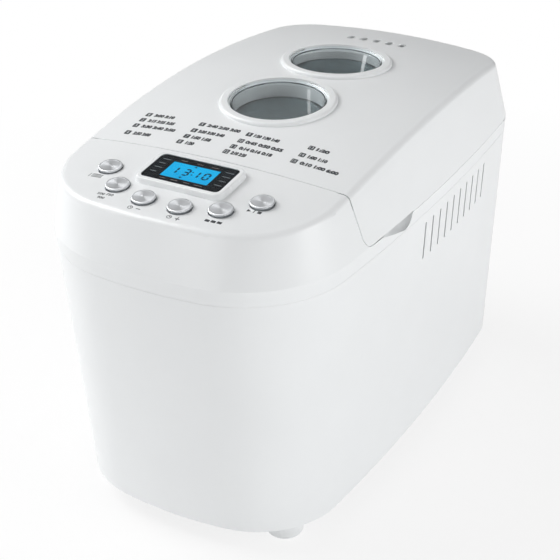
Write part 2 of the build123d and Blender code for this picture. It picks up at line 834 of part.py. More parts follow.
def drive_dog(y):
    """Disc with two lugs that push the pan wing round."""
    disc = rod(0, y, dog_z, dog_z + dog_thick, dog_radius)
    for side in (-1, 1):
        disc += Pos(side * (dog_radius - 3), y, dog_z + dog_thick + dog_lug / 2) * Box(4, 6, dog_lug)
    return disc - rod(0, y, dog_z - 1, dog_z + dog_thick, drive_shaft_radius)


def groove(y, low, radius, bore):
    """One flanged belt seat with a hub and a web."""
    high = low + belt_width
    seat = ring(0, y, low - 0.5, high + 0.5, radius, radius - 4)
    seat += ring(0, y, low - 0.5 - flange_thick, low - 0.5, radius + flange_rise, radius - 4)
    seat += ring(0, y, high + 0.5, high + 0.5 + flange_thick, radius + flange_rise, radius - 4)
    seat += ring(0, y, low + belt_width / 2 - 1.5, low + belt_width / 2 + 1.5, radius - 3, bore)
    return seat + ring(0, y, low - 0.5 - flange_thick, high + 0.5 + flange_thick, bore + 3.5, bore)


def front_pulley():
    """Two-step pulley: large seat for the motor belt, small seat for the link belt."""
    y = shaft_spots["front"]
    return groove(y, link_belt_z, link_radius, drive_shaft_radius) + groove(y, drive_belt_z, big_radius,
                                                                            drive_shaft_radius)


def rear_pulley():
    return groove(shaft_spots["rear"], link_belt_z, link_radius, drive_shaft_radius)


def motor_pulley():
    y = motor_y
    seat = ring(0, y, drive_belt_z - 0.5, drive_belt_z + belt_width + 0.5, small_radius, motor_shaft_radius)
    for low in (drive_belt_z - 0.5 - flange_thick, drive_belt_z + belt_width + 0.5):
        seat += ring(0, y, low, low + flange_thick, small_radius + flange_rise, motor_shaft_radius)
    return seat


def belt(first, second, z):
    """Belt round two pulleys, each given as its y and its radius."""
    def loop(grow):
        circles = [Pos(0, y) * Circle(radius + grow) for y, radius in (first, second)]
        return make_hull(circles[0].edges() + circles[1].edges())
    return extrude(Pos(0, 0, z) * (loop(belt_gap + belt_thick) - loop(belt_gap)), belt_width)


def motor_mount():
    """Plate on four posts that carries the motor."""
    plate = rounded_slab(motor_half[0] + 6, motor_y - motor_half[1] - 2, motor_y + motor_half[1] + 2, 8,
                         motor_plate_z, motor_plate_z + motor_plate_thick)
    return plate - rod(0, motor_y, motor_plate_z - 1, motor_plate_z + 4, 6)


def motor_stack():
    """Laminated stator."""
    low = motor_plate_z + motor_plate_thick + bell_height
    high = low + stack_height
    stack = rounded_slab(motor_half[0], motor_y - motor_half[1], motor_y + motor_half[1], 8, low, high)
    return stack - rod(0, motor_y, low - 1, high + 1, motor_shaft_radius + 1)


def motor_bells():
    """Bearing caps below and above the stator."""
    low = motor_plate_z + motor_plate_thick
    high = low + bell_height + stack_height
    bore = motor_shaft_radius + run_clearance
    return Compound([ring(0, motor_y, z, z + bell_height, bell_radius, bore) for z in (low, high)])


def motor_shaft():
    top = motor_plate_z + motor_plate_thick + 2 * bell_height + stack_height
    return rod(0, motor_y, drive_belt_z - 3, top + 4, motor_shaft_radius)


def run_capacitor():
    """Motor capacitor standing on the base plate."""
    can = rod(board_x, motor_y + 8, base_top, base_top + 52, 13)
    return fillet(can.edges().sort_by(Axis.Z)[-1], 2)


def power_board():
    """Upright board in two rails, with its relay, transformer and fuse blocks."""
    low = base_top + 2
    board = Pos(-board_x, motor_y, low + 30) * Box(board_thick, 54, 60)
    side = -board_x - board_thick / 2
    for y, z, size in ((-14, 26, (14, 18, 16)), (10, 28, (20, 24, 22)), (-8, 48, (10, 22, 8))):
        board += Pos(side - size[0] / 2, motor_y + y, low + z) * Box(*size)
    return board


nodes = {
    "lower_body": lower_body(),
    "base_plate": base_plate(),
    "feet": feet(),
    "base_screws": base_screws(),
    "cable_gland": cable_gland(),
    "upper_housing": upper_housing(),
    "lid_cover": lid_cover(),
    "lid_liner": lid_liner(),
    "lid_screws": lid_screws(),
    "hinge_pins": hinge_pins(),
    "window_front": window_cup(shaft_spots["front"]),
    "window_rear": window_cup(shaft_spots["rear"]),
    "display_frame": display_frame(),
    "display_mask": display_mask(),
    "display_lens": display_lens(),
    "display_panel": display_panel(),
    "display_holder": display_holder(),
    "control_board": control_board(),
    "board_screws": board_screws(),
    "push_switches": push_switches(),
    "oven_chamber": oven_chamber(),
    "temperature_sensor": temperature_sensor(),
    "thermal_fuse": thermal_fuse(),
    "heating_element": heating_element(),
    "heater_clips": heater_clips(),
    "heater_bushings": heater_bushings(),
    "pan_clips": pan_clips(),
    "bread_pan": bread_pan(),
    "pan_foot": pan_foot(),
    "pan_ears": pan_ears(),
    "pan_handle": pan_handle(),
    "pan_bushes": pan_bushes(),
    "drive_bracket": drive_bracket(),
    "bearing_bushes": bearing_bushes(),
    "front_pulley": front_pulley(),
    "rear_pulley": rear_pulley(),
    "motor_pulley": motor_pulley(),
    "drive_belt": belt((motor_y, small_radius), (shaft_spots["front"], big_radius), drive_belt_z),
    "link_belt": belt((shaft_spots["front"], link_radius), (shaft_spots["rear"], link_radius), link_belt_z),
    "motor_mount": motor_mount(),
    "motor_stack": motor_stack(),
    "motor_bells": motor_bells(),
    "motor_shaft": motor_shaft(),
    "run_capacitor": run_capacitor(),
    "power_board": power_board(),
}
for end, at in shaft_spots.items():
    nodes["paddle_shaft_" + end] = paddle_shaft(at)
    nodes["kneading_paddle_" + end] = kneading_paddle(at)
    nodes["drive_shaft_" + end] = drive_shaft(at)
    nodes["drive_dog_" + end] = drive_dog(at)
for name, (at_x, at_y) in button_spots.items():
    nodes["button_" + name] = button(at_x, at_y)

os.makedirs("parts", exist_ok=True)
for name, solid in nodes.items():
    export_step(solid, f"parts/{name}.step")
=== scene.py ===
"""Looks of the bread machine: finishes, turned buttons, display, windows, seals, screws and printed marks."""
import math

import bmesh
import bpy
from mathutils import Matrix, Vector
from mathutils.bvhtree import BVHTree
from mathutils.geometry import convex_hull_2d


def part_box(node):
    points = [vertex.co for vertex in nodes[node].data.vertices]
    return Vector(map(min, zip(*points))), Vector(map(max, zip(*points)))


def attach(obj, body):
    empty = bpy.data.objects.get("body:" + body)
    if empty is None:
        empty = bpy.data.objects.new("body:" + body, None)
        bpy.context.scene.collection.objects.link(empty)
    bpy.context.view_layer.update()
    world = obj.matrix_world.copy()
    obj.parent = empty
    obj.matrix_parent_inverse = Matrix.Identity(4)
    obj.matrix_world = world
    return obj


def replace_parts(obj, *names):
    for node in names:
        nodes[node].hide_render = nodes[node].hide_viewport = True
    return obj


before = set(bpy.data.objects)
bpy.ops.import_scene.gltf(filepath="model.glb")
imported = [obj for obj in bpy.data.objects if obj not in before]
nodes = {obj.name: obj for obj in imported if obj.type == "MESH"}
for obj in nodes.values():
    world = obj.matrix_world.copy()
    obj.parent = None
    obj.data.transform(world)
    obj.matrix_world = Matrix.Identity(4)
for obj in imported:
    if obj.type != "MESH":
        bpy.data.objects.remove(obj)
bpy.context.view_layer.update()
scene = bpy.context.scene
MM = 0.001

# Shapes of the lid crown and the control panel, in millimetres, as the solids have them
CROWN_RADIUS, CROWN_Y, CROWN_TOP = 985.0, 41.0, 298.0
PANEL_Y, PANEL_TILT, ROLL_RADIUS = -117.8, math.radians(7.17), 1000.0
WALL = 3.0


def crown_height(x, y):
    """Height of the lid crown above the floor."""
    return CROWN_TOP - CROWN_RADIUS + math.sqrt(CROWN_RADIUS ** 2 - x ** 2 - (y - CROWN_Y) ** 2)


def on_lid(x, y, rise):
    """Point in metres over the lid crown at x, y millimetres, raised square to it."""
    centre = Vector((0, CROWN_Y, CROWN_TOP - CROWN_RADIUS))
    spot = Vector((x, y, crown_height(x, y)))
    return (spot + (spot - centre).normalized() * rise) * MM


def panel_height(x):
    """Height of the crowned panel over its flat plane."""
    return math.sqrt(ROLL_RADIUS ** 2 - x ** 2) - ROLL_RADIUS


panel_place = Matrix.Translation((0, PANEL_Y, crown_height(0, PANEL_Y))) @ Matrix.Rotation(PANEL_TILT, 4, "X")


def over_panel(x, y, height):
    """Point in metres at x, y and a height over the panel's flat plane."""
    return (panel_place @ Vector((x, y, height))) * MM


def on_panel(x, y, rise):
    """Point in metres raised over the crowned panel."""
    return over_panel(x, y, panel_height(x) + rise)


def linear(code):
    """sRGB hex colour as linear red, green, blue and alpha."""
    parts = [int(code[at:at + 2], 16) / 255 for at in (1, 3, 5)]
    return (*[p / 12.92 if p <= 0.04045 else ((p + 0.055) / 1.055) ** 2.4 for p in parts], 1.0)


def add(tree, kind, inputs=None, **settings):
    """Adds a node with its settings, and sets or links its inputs by name or number."""
    node = tree.nodes.new("ShaderNode" + kind)
    for key, value in settings.items():
        setattr(node, key, value)
    for key, value in (inputs or {}).items():
        if isinstance(value, bpy.types.NodeSocket):
            tree.links.new(value, node.inputs[key])
        else:
            node.inputs[key].default_value = value
    return node


def mix(tree, share, first, second):
    """Colour that goes from the first to the second with a share, each a socket or a hex code."""
    first, second = (linear(tone) if isinstance(tone, str) else tone for tone in (first, second))
    return add(tree, "Mix", {0: share, 6: first, 7: second}, data_type="RGBA").outputs[2]


def wave_scale(pitch):
    """Scale that gives a wave texture a pitch in millimetres."""
    return 2 * math.pi / 20 / (pitch * MM)


def surface(name, light, dark, patch, rough, grain, relief, stretch=(1, 1, 1), **values):
    """Material that drifts between two tones over patches, with a grain in its roughness and relief.

    patch, grain and relief are millimetres, stretch lengthens the pattern along an axis, and values are
    plain sockets of the shader, with _ for a space.
    """
    material = bpy.data.materials.new(name)
    material.use_nodes = True
    tree = material.node_tree
    shader = tree.nodes["Principled BSDF"]
    for key, value in values.items():
        shader.inputs[key.replace("_", " ")].default_value = value
    place = add(tree, "TexCoord").outputs["Object"]
    if stretch != (1, 1, 1):
        place = add(tree, "Mapping", {0: place, "Scale": [1 / s for s in stretch]}).outputs[0]
    drift = add(tree, "TexNoise", {"Vector": place, "Scale": 1 / (patch * MM), "Detail": 3.0}).outputs[0]
    fine = add(tree, "TexNoise", {"Vector": place, "Scale": 1 / (grain * MM), "Detail": 2.0}).outputs[0]
    tone = add(tree, "MapRange", {0: drift, 1: 0.35, 2: 0.65}).outputs[0]
    colour = mix(tree, tone, dark, light)
    shine = add(tree, "MapRange", {0: fine, 1: 0.3, 2: 0.7, 3: rough[0], 4: rough[1]}).outputs[0]
    bump = add(tree, "Bump", {"Height": fine, "Distance": relief * MM}).outputs[0]
    for socket, source in (("Base Color", colour), ("Roughness", shine), ("Normal", bump)):
        tree.links.new(source, shader.inputs[socket])
    return material


def parts_of(material):
    """Tree, shader, pattern coordinates and base colour that a material starts with."""
    tree = material.node_tree
    shader = tree.nodes["Principled BSDF"]
    colour = shader.inputs["Base Color"].links[0].from_socket
    place = tree.nodes["Texture Coordinate"].outputs["Object"]
    return tree, shader, place, colour


def let_lamps_through(material, tint):
    """Clear plastic passes lamp light straight on, so that what lies behind it is lit."""
    tree, shader = material.node_tree, material.node_tree.nodes["Principled BSDF"]
    lamp_ray = add(tree, "LightPath").outputs["Is Shadow Ray"]
    clear = add(tree, "BsdfTransparent", {"Color": linear(tint)}).outputs[0]
    both = add(tree, "MixShader", {0: lamp_ray, 1: shader.outputs[0], 2: clear}).outputs[0]
    tree.links.new(both, tree.nodes["Material Output"].inputs["Surface"])


# ABS moulded in a polished tool: clean cool white, soft gloss, a slight orange peel in its reflections
body_white = surface("ABS_moulded_gloss_white_body", "#EFF1F2", "#EDEFF0", 90, (0.30, 0.34), 5.0, 0.0006, IOR=1.53)
lid_white = surface("ABS_moulded_gloss_white_lid", "#EFF1F2", "#EDEFF0", 70, (0.28, 0.32), 5.0, 0.0006, IOR=1.53)
frame_white = surface("ABS_moulded_gloss_white_frame", "#F1F3F4", "#EFF1F2", 40, (0.24, 0.28), 4.0, 0.0006, IOR=1.53)

# Thermoplastic rubber moulded in a blasted tool: dull white with a fine stipple
foot_white = surface("Rubber_moulded_matt_white", "#EAECED", "#E4E6E7", 12, (0.55, 0.70), 0.7, 0.02)

# Polypropylene moulded in a spark-eroded tool: mid grey with a leathery grain
base_grey = surface("Polypropylene_moulded_grained_grey", "#B9BCBE", "#AFB2B5", 30, (0.45, 0.60), 0.9, 0.03, IOR=1.49)

# Polycarbonate moulded in a polished tool, with a soft coat: clear, faintly smoked, with little shine of its own
window_clear = surface("Polycarbonate_moulded_coated", "#F4F7F8", "#F1F5F6", 40, (0.02, 0.04), 6.0, 0.0015, IOR=1.22,
                       Transmission_Weight=1.0)
let_lamps_through(window_clear, "#F8FAFA")
# Polycarbonate sheet, polished: colourless, with sharp mirror images and bright edges
pane_clear = surface("Polycarbonate_sheet_polished", "#FBFCFC", "#F9FAFB", 40, (0.01, 0.02), 6.0, 0.0006, IOR=1.5,
                     Transmission_Weight=1.0)
let_lamps_through(pane_clear, "#FAFBFB")

# Tinted polyester film laid on the cup's floor: sea grey, with a faint haze. Its tint is painted shade, the darkness of
# the oven seen through the window
film_painted_shade = surface("Polyester_film_painted_shade", "#C6DEE3", "#BFD8DE", 30, (0.08, 0.12), 5.0, 0.0006, IOR=1.2,
                      Transmission_Weight=0.96)
let_lamps_through(film_painted_shade, "#C6DEE3")
# Cord pressed in round the pane: dark grey, dull. Its grey is painted shade, the shadow line of the gap round the pane
gap_shade_cord_grey = surface("Rubber_cord_painted_gap_shade", "#7C8286", "#70767A", 8, (0.5, 0.65), 0.8, 0.01)

# Acrylic sheet, cast: a flat clear cover with sharp reflections
lens_clear = surface("Acrylic_cast_clear", "#F6F9FA", "#F2F6F8", 20, (0.015, 0.03), 5.0, 0.0002, IOR=1.15,
                     Transmission_Weight=1.0)
let_lamps_through(lens_clear, "#F2F6F8")

# Acrylic film printed black on its back: deep black, wet to the cover in front, so without a shine of its own
mask_black = surface("Acrylic_film_printed_black", "#0F1317", "#0A0D11", 4, (0.80, 0.95), 0.6, 0.0005,
                     Specular_IOR_Level=0.0)


def lit_screen():
    """Liquid-crystal glass over a blue lamp: light whose tone drifts a little in broad patches, with a fine grain."""
    material = surface("Liquid_crystal_glass_backlit_blue", "#0E3A52", "#0B3148", 15, (0.5, 0.6), 1.0, 0.0005,
                       Specular_IOR_Level=0.0, Emission_Strength=1.0)
    tree, shader, place, _ = parts_of(material)
    glow = add(tree, "TexNoise", {"Vector": place, "Scale": 1 / (22 * MM), "Detail": 1.0}).outputs[0]
    level = add(tree, "MapRange", {0: glow, 1: 0.3, 2: 0.7}).outputs[0]
    light = mix(tree, level, "#00A2DA", "#00B2E8")
    tree.links.new(light, shader.inputs["Emission Color"])
    return material


def spun_metal():
    """Aluminium faced on a lathe: rings too fine to count that fan the highlights out from the centre."""
    material = surface("Aluminium_spun", "#DEE1E4", "#D5D8DC", 6, (0.30, 0.36), 0.5, 0.0004, Metallic=1.0,
                       Anisotropic=0.8)
    tree, shader, place, colour = parts_of(material)
    # Turning marks of about 0.1 mm, drawn at 0.5 mm so that they show
    rings = add(tree, "TexWave", {"Vector": place, "Scale": wave_scale(0.5), "Distortion": 0.4, "Detail": 1.0},
                wave_type="RINGS", rings_direction="Z").outputs["Fac"]
    bump = add(tree, "Bump", {"Height": rings, "Distance": 0.004 * MM, "Strength": 0.6}).outputs[0]
    toned = mix(tree, rings, colour, "#E6E8EA")
    around = add(tree, "Tangent", direction_type="RADIAL", axis="Z").outputs[0]
    for socket, source in (("Base Color", toned), ("Normal", bump), ("Tangent", around)):
        tree.links.new(source, shader.inputs[socket])
    return material


def coated_pan():
    """Sprayed non-stick coat: slate grey, slightly glossy, sprinkled with pale and dark specks."""
    material = surface("Fluoropolymer_sprayed_nonstick", "#3E474B", "#373F43", 25, (0.36, 0.48), 1.6, 0.01)
    tree, shader, place, colour = parts_of(material)
    spots = add(tree, "TexVoronoi", {"Vector": place, "Scale": 1 / (2.4 * MM)})
    speck = add(tree, "Math", {0: spots.outputs["Distance"], 1: 0.17}, operation="LESS_THAN").outputs[0]
    shade = add(tree, "SeparateColor", {0: spots.outputs["Color"]}).outputs[0]
    kind = mix(tree, shade, "#262B2E", "#6F787C")
    flecked = mix(tree, speck, colour, kind)
    tree.links.new(flecked, shader.inputs["Base Color"])
    return material


def zinc_sheet():
    """Hot-dip galvanised steel: a patchwork of crystals that catch the light differently."""
    material = surface("Steel_sheet_galvanised", "#B4B9BC", "#A6ABAE", 20, (0.35, 0.45), 1.0, 0.002, Metallic=1.0)
    tree, shader, place, colour = parts_of(material)
    cells = add(tree, "TexVoronoi", {"Vector": place, "Scale": 1 / (9 * MM)}).outputs["Color"]
    shade = add(tree, "SeparateColor", {0: cells}).outputs[0]
    tone = mix(tree, shade, colour, "#C9CED1")
    rough = add(tree, "MapRange", {0: shade, 3: 0.28, 4: 0.5}).outputs[0]
    tree.links.new(tone, shader.inputs["Base Color"])
    tree.links.new(rough, shader.inputs["Roughness"])
    return material


def hot_tube():
    """Stainless tube that has been red hot: dull brown steel with straw and blue bands."""
    material = surface("Stainless_tube_heat_tinted", "#6B625A", "#544E4A", 14, (0.38, 0.52), 0.8, 0.004, Metallic=1.0)
    tree, shader, place, colour = parts_of(material)
    bands = add(tree, "TexNoise", {"Vector": place, "Scale": 1 / (34 * MM), "Detail": 1.0}).outputs[0]
    blue = add(tree, "MapRange", {0: bands, 1: 0.52, 2: 0.62}).outputs[0]
    straw = add(tree, "MapRange", {0: bands, 1: 0.46, 2: 0.38}).outputs[0]
    cool = mix(tree, blue, colour, "#56606E")
    both = mix(tree, straw, cool, "#85704F")
    tree.links.new(both, shader.inputs["Base Color"])
    return material


def resist_board():
    """Glass-epoxy board under green resist: paler tracks show through, with bright tinned spots."""
    material = surface("Glass_epoxy_green_resist", "#1E6B45", "#1A5F3D", 8, (0.28, 0.38), 1.2, 0.005, IOR=1.55)
    tree, shader, place, colour = parts_of(material)
    cells = add(tree, "TexVoronoi", {"Vector": place, "Scale": 1 / (7 * MM)}, distance="CHEBYCHEV").outputs["Distance"]
    track = add(tree, "TexWave", {"Vector": place, "Scale": wave_scale(2.6), "Distortion": 3.0,
                                  "Detail Scale": 0.2}).outputs["Fac"]
    line = add(tree, "Math", {0: track, 1: 0.7}, operation="GREATER_THAN").outputs[0]
    dot = add(tree, "Math", {0: cells, 1: 0.13}, operation="LESS_THAN").outputs[0]
    lined = mix(tree, line, colour, "#2C8256")
    dotted = mix(tree, dot, lined, "#C9CCC6")
    tree.links.new(dotted, shader.inputs["Base Color"])
    tree.links.new(dot, shader.inputs["Metallic"])
    return material


def stacked_sheet():
    """Silicon steel punched and stacked: fine level lines of bright edges and dark varnish."""
    material = surface("Silicon_steel_laminated", "#8A8C8E", "#7C7E80", 20, (0.35, 0.5), 0.8, 0.003, Metallic=1.0)
    tree, shader, place, colour = parts_of(material)
    # Sheets of 0.5 mm, drawn at 1 mm so that they show
    sheets = add(tree, "TexWave", {"Vector": place, "Scale": wave_scale(1.0)}, bands_direction="Z").outputs["Fac"]
    tone = mix(tree, sheets, "#4C4A47", colour)
    bump = add(tree, "Bump", {"Height": sheets, "Distance": 0.05 * MM}).outputs[0]
    tree.links.new(tone, shader.inputs["Base Color"])
    tree.links.new(bump, shader.inputs["Normal"])
    return material


def woven_belt():
    """Moulded neoprene belt with a cloth face: dull black with a faint diagonal rib."""
    material = surface("Neoprene_moulded_cloth_faced", "#26272A", "#1E1F22", 6, (0.65, 0.8), 0.6, 0.02)
    tree, shader, place, colour = parts_of(material)
    rib = add(tree, "TexWave", {"Vector": place, "Scale": wave_scale(1.2)}, bands_direction="DIAGONAL").outputs["Fac"]
    tone = mix(tree, rib, colour, "#36383B")
    bump = add(tree, "Bump", {"Height": rib, "Distance": 0.08 * MM}).outputs[0]
    tree.links.new(tone, shader.inputs["Base Color"])
    tree.links.new(bump, shader.inputs["Normal"])
    return material


finishes = {
    "body_white": body_white, "lid_white": lid_white, "frame_white": frame_white, "foot_white": foot_white,
    "base_grey": base_grey, "window_clear": window_clear, "lens_clear": lens_clear, "mask_black": mask_black,
    "screen_blue": lit_screen(), "button_metal": spun_metal(), "nonstick": coated_pan(),
    "sheet_steel": zinc_sheet(), "heater_steel": hot_tube(), "board_green": resist_board(),
    "laminate": stacked_sheet(), "belt_rubber": woven_belt(),
    # Nylon filled with short glass: black with a mottled, slightly dry face
    "dark_plastic": surface("Nylon_glass_filled_black", "#2B2D30", "#232528", 5, (0.45, 0.6), 0.7, 0.015),
    # Nylon moulded in its natural colour: milky white
    "white_plastic": surface("Nylon_moulded_natural", "#E8E6DE", "#E0DED5", 12, (0.38, 0.48), 1.0, 0.005, IOR=1.53,
                             Subsurface_Weight=0.1, Subsurface_Scale=0.002),
    # Steatite pressed and fired: chalky ivory with a fine grit
    "ceramic": surface("Steatite_pressed_fired", "#EAE4D6", "#DED7C7", 5, (0.6, 0.75), 0.5, 0.02, IOR=1.6),
    # Aluminium rolled into sheet and passivated: dull grey with long faint streaks along the length
    "sheet_aluminium": surface("Aluminium_sheet_rolled", "#8D9598", "#7F878A", 3.0, (0.28, 0.40), 0.8, 0.002,
                               stretch=(1, 30, 30), Metallic=1.0, Anisotropic=0.4),
    # Steel plated with bright zinc: cool silver, faintly mottled
    "steel": surface("Steel_zinc_plated", "#C6CACE", "#B5B9BE", 3, (0.22, 0.34), 0.8, 0.002, Metallic=1.0),
    # Bronze pressed from powder and soaked in oil: warm brown, dotted with open pores
    "bronze": surface("Bronze_sintered", "#A5763E", "#86602F", 2, (0.35, 0.55), 0.5, 0.02, Metallic=1.0),
}

# Inks: screen-printed greys and whites that lie a hair proud, with a slightly uneven edge-to-edge tone
ink_grey = surface("Ink_screen_printed_grey", "#32363A", "#2C3034", 1.5, (0.45, 0.6), 0.4, 0.004)
ink_white = surface("Ink_screen_printed_white", "#E4E7E8", "#DADDDF", 1.5, (0.45, 0.6), 0.4, 0.004)
ink_dim = surface("Ink_screen_printed_dim", "#6A7074", "#5E6468", 1.5, (0.45, 0.6), 0.4, 0.004)
ink_amber = surface("Ink_screen_printed_amber", "#6A5C57", "#5E514D", 1.5, (0.45, 0.6), 0.4, 0.004)
# Liquid crystal turned dark: ink-blue strokes that let a little of the lamp through
crystal_dark = surface("Liquid_crystal_dark", "#062A45", "#052238", 2, (0.5, 0.6), 0.5, 0.0005, Specular_IOR_Level=0.0)

for node in nodes.values():
    for holder in node.material_slots:
        holder.material = finishes[holder.material.name.split(".")[0]]


def piece(name, points, faces, finish, body):
    """A mesh piece of points in metres that moves with a body."""
    mesh = bpy.data.meshes.new(name)
    mesh.from_pydata([tuple(p) for p in points], [], faces)
    shape = bmesh.new()
    shape.from_mesh(mesh)
    bmesh.ops.remove_doubles(shape, verts=shape.verts, dist=1e-7)
    bmesh.ops.recalc_face_normals(shape, faces=shape.faces)
    shape.to_mesh(mesh)
    shape.free()
    made = bpy.data.objects.new(name, mesh)
    scene.collection.objects.link(made)
    mesh.materials.append(finish)
    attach(made, body)
    return made


def stack(*levels):
    """Points and faces of a closed shape through levels, each an outline in x and y with its height."""
    count = len(levels[0][0])
    points = [(x, y, height) for outline, height in levels for x, y in outline]
    faces = [tuple(reversed(range(count))), tuple(range(len(points) - count, len(points)))]
    for start in range(0, len(points) - count, count):
        faces += [(start + i, start + (i + 1) % count, start + count + (i + 1) % count, start + count + i)
                  for i in range(count)]
    return points, faces


def slab(outline, low, high):
    """Points and faces of a flat plate with that outline, between two heights."""
    return stack((outline, low), (outline, high))


def row_of_letters(text, tall, wide, low, high, weight=0.0):
    """Points and faces of a row of figures from the origin, tall by wide millimetres, between two heights."""
    curve = bpy.data.curves.new("row", "FONT")
    curve.body, curve.extrude, curve.resolution_u, curve.offset = text, 0.5, 3, weight
    holder = bpy.data.objects.new("row", curve)
    scene.collection.objects.link(holder)
    bpy.context.view_layer.update()
    mesh = bpy.data.meshes.new_from_object(holder.evaluated_get(bpy.context.evaluated_depsgraph_get()))
    spots = [v.co.copy() for v in mesh.vertices]
    faces = [tuple(f.vertices) for f in mesh.polygons]
    bpy.data.objects.remove(holder)
    bpy.data.curves.remove(curve)
    bpy.data.meshes.remove(mesh)
    left, right = min(p.x for p in spots), max(p.x for p in spots)
    base, top = min(p.y for p in spots), max(p.y for p in spots)
    return [((p.x - left) / (right - left) * wide, (p.y - base) / (top - base) * tall,
             low if p.z < 0 else high) for p in spots], faces


def gather(shapes, place):
    """Joins shapes, each (points, faces, x, y), into one list of points and faces, set down by place."""
    points, faces = [], []
    for spots, sides, x, y in shapes:
        start = len(points)
        points += [place(x + px, y + py, pz) for px, py, pz in spots]
        faces += [tuple(start + i for i in side) for side in sides]
    return points, faces


def box_outline(wide, tall, corner=0.0, steps=3):
    """Rectangle about the origin, with rounded corners."""
    if not corner:
        return [(-wide / 2, -tall / 2), (wide / 2, -tall / 2), (wide / 2, tall / 2), (-wide / 2, tall / 2)]
    spots = []
    for turn, (cx, cy) in enumerate(((1, 1), (-1, 1), (-1, -1), (1, -1))):
        for step in range(steps + 1):
            angle = math.pi / 2 * (turn + step / steps)
            spots.append((cx * (wide / 2 - corner) + corner * math.cos(angle),
                          cy * (tall / 2 - corner) + corner * math.sin(angle)))
    return spots


def lathe(profile, steps=96):
    """Points and faces of a turned shape from its profile of radii and heights, closed on the axis or in itself."""
    turns = [2 * math.pi * i / steps for i in range(steps)]
    points = [(radius * math.cos(turn), radius * math.sin(turn), height)
              for radius, height in profile for turn in turns]
    faces = []
    for start in range(0, len(points) - steps, steps):
        for i in range(steps):
            here, after = start + i, start + (i + 1) % steps
            faces.append((here, after, after + steps, here + steps))
    return points, faces


def smooth(made, angle):
    """Shades a piece as round, except where its faces meet at more than an angle in degrees."""
    for side in made.data.polygons:
        side.use_smooth = True
    made.data.set_sharp_from_angle(angle=math.radians(angle))


# Turned metal buttons, each on its own body, with the lip and stem that the solids have
BUTTON_RADIUS, BUTTON_RISE, BUTTON_LIP, BUTTON_GAP = 8.7, 2.6, 1.6, 0.4
STEM_RADIUS, STEM_END = 2.2, -7.7
FACE_DIP, FACE_RINGS, RING_WIDE, RING_DEEP = 0.12, 12, 0.36, 0.012
BUTTON_SPOTS = {"menu": (-62.4, -39.2), "weight": (-42.1, -59.7), "time_down": (-14.6, -68.1),
                "time_up": (14.6, -68.1), "crust": (42.1, -59.7), "start": (62.4, -39.2)}


def turned_button(name, x, y):
    """Button cap: a dished face with shallow turned rings inside a bright bevel, undercut at the panel."""
    at = panel_height(x)
    reach, waist = BUTTON_RADIUS + BUTTON_LIP, BUTTON_RADIUS - 0.8
    under = panel_height(abs(x) + reach) - WALL - BUTTON_GAP - at
    face = BUTTON_RISE - 0.25
    profile = [(0.0, STEM_END - at), (STEM_RADIUS - 0.3, STEM_END - at), (STEM_RADIUS, STEM_END - at + 0.3),
               (STEM_RADIUS, under - 1.2), (reach - 0.2, under - 1.2), (reach, under - 1.0), (reach, under - 0.2),
               (reach - 0.2, under), (waist, under), (waist, 1.0), (BUTTON_RADIUS - 0.15, 1.15), (BUTTON_RADIUS, 1.3),
               (BUTTON_RADIUS, BUTTON_RISE - 0.45), (BUTTON_RADIUS - 0.1, BUTTON_RISE - 0.3),
               (BUTTON_RADIUS - 0.4, BUTTON_RISE - 0.05), (BUTTON_RADIUS - 0.6, BUTTON_RISE),
               (BUTTON_RADIUS - 0.9, BUTTON_RISE), (BUTTON_RADIUS - 1.1, face)]
    for ring in range(FACE_RINGS):
        out = (BUTTON_RADIUS - 1.3) * (1 - ring / FACE_RINGS)
        dip = face - FACE_DIP * (1 - (out / BUTTON_RADIUS) ** 2)
        profile += [(out, dip), (out - RING_WIDE / 2, dip - RING_DEEP), (out - RING_WIDE, dip)]
    profile.append((0.0, face - FACE_DIP))
    points, faces = lathe(profile)
    made = piece("button_cap_" + name, [Vector(p) * MM for p in points], faces, finishes["button_metal"],
                 "button_" + name)
    made.matrix_world = Matrix.Translation(on_panel(x, y, 0)) @ Matrix.Rotation(PANEL_TILT, 4, "X")
    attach(made, "button_" + name)
    smooth(made, 28)
    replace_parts(made, "button_" + name)


for label, (spot_x, spot_y) in BUTTON_SPOTS.items():
    turned_button(label, spot_x, spot_y)

# Figures and marks of the display, on the liquid-crystal glass and on the mask round it
DISPLAY_Y, LENS_THICK, MASK_THICK, DISPLAY_TOP = -30.6, 0.9, 0.3, 4.0
LENS_SIZE, LENS_CORNER = (64.4, 33.0), 4.0
MASK_TOP = DISPLAY_TOP - LENS_THICK
GLASS_TOP = MASK_TOP - MASK_THICK
FIGURE_TALL, FIGURE_WIDE, STROKE, STROKE_GAP = 9.2, 5.5, 1.45, 0.12
FIGURE_LAYER, MARK_LAYER = (-0.03, 0.05), (-0.05, 0.03)
STROKES = {"0": "abcdef", "1": "bc", "3": "abcdg"}


def figure(sign):
    """Outlines of the strokes of one seven-bar figure about the origin."""
    half_wide, half_tall, nib = FIGURE_WIDE / 2 - STROKE / 2, FIGURE_TALL / 2 - STROKE / 2, STROKE / 2
    ends = {"a": (-1, 1, 1, 1), "b": (1, 0, 1, 1), "c": (1, -1, 1, 0), "d": (-1, -1, 1, -1),
            "e": (-1, -1, -1, 0), "f": (-1, 0, -1, 1), "g": (-1, 0, 1, 0)}
    bars = []
    for name in STROKES[sign]:
        x0, y0, x1, y1 = (value * half for value, half in zip(ends[name], (half_wide, half_tall) * 2))
        along = Vector((x1 - x0, y1 - y0)).normalized()
        across = Vector((-along.y, along.x)) * nib
        start, end = Vector((x0, y0)) + along * STROKE_GAP, Vector((x1, y1)) - along * STROKE_GAP
        bars.append([tuple(p) for p in (start, start + along * nib - across, end - along * nib - across, end,
                                        end - along * nib + across, start + along * nib + across)])
    return bars


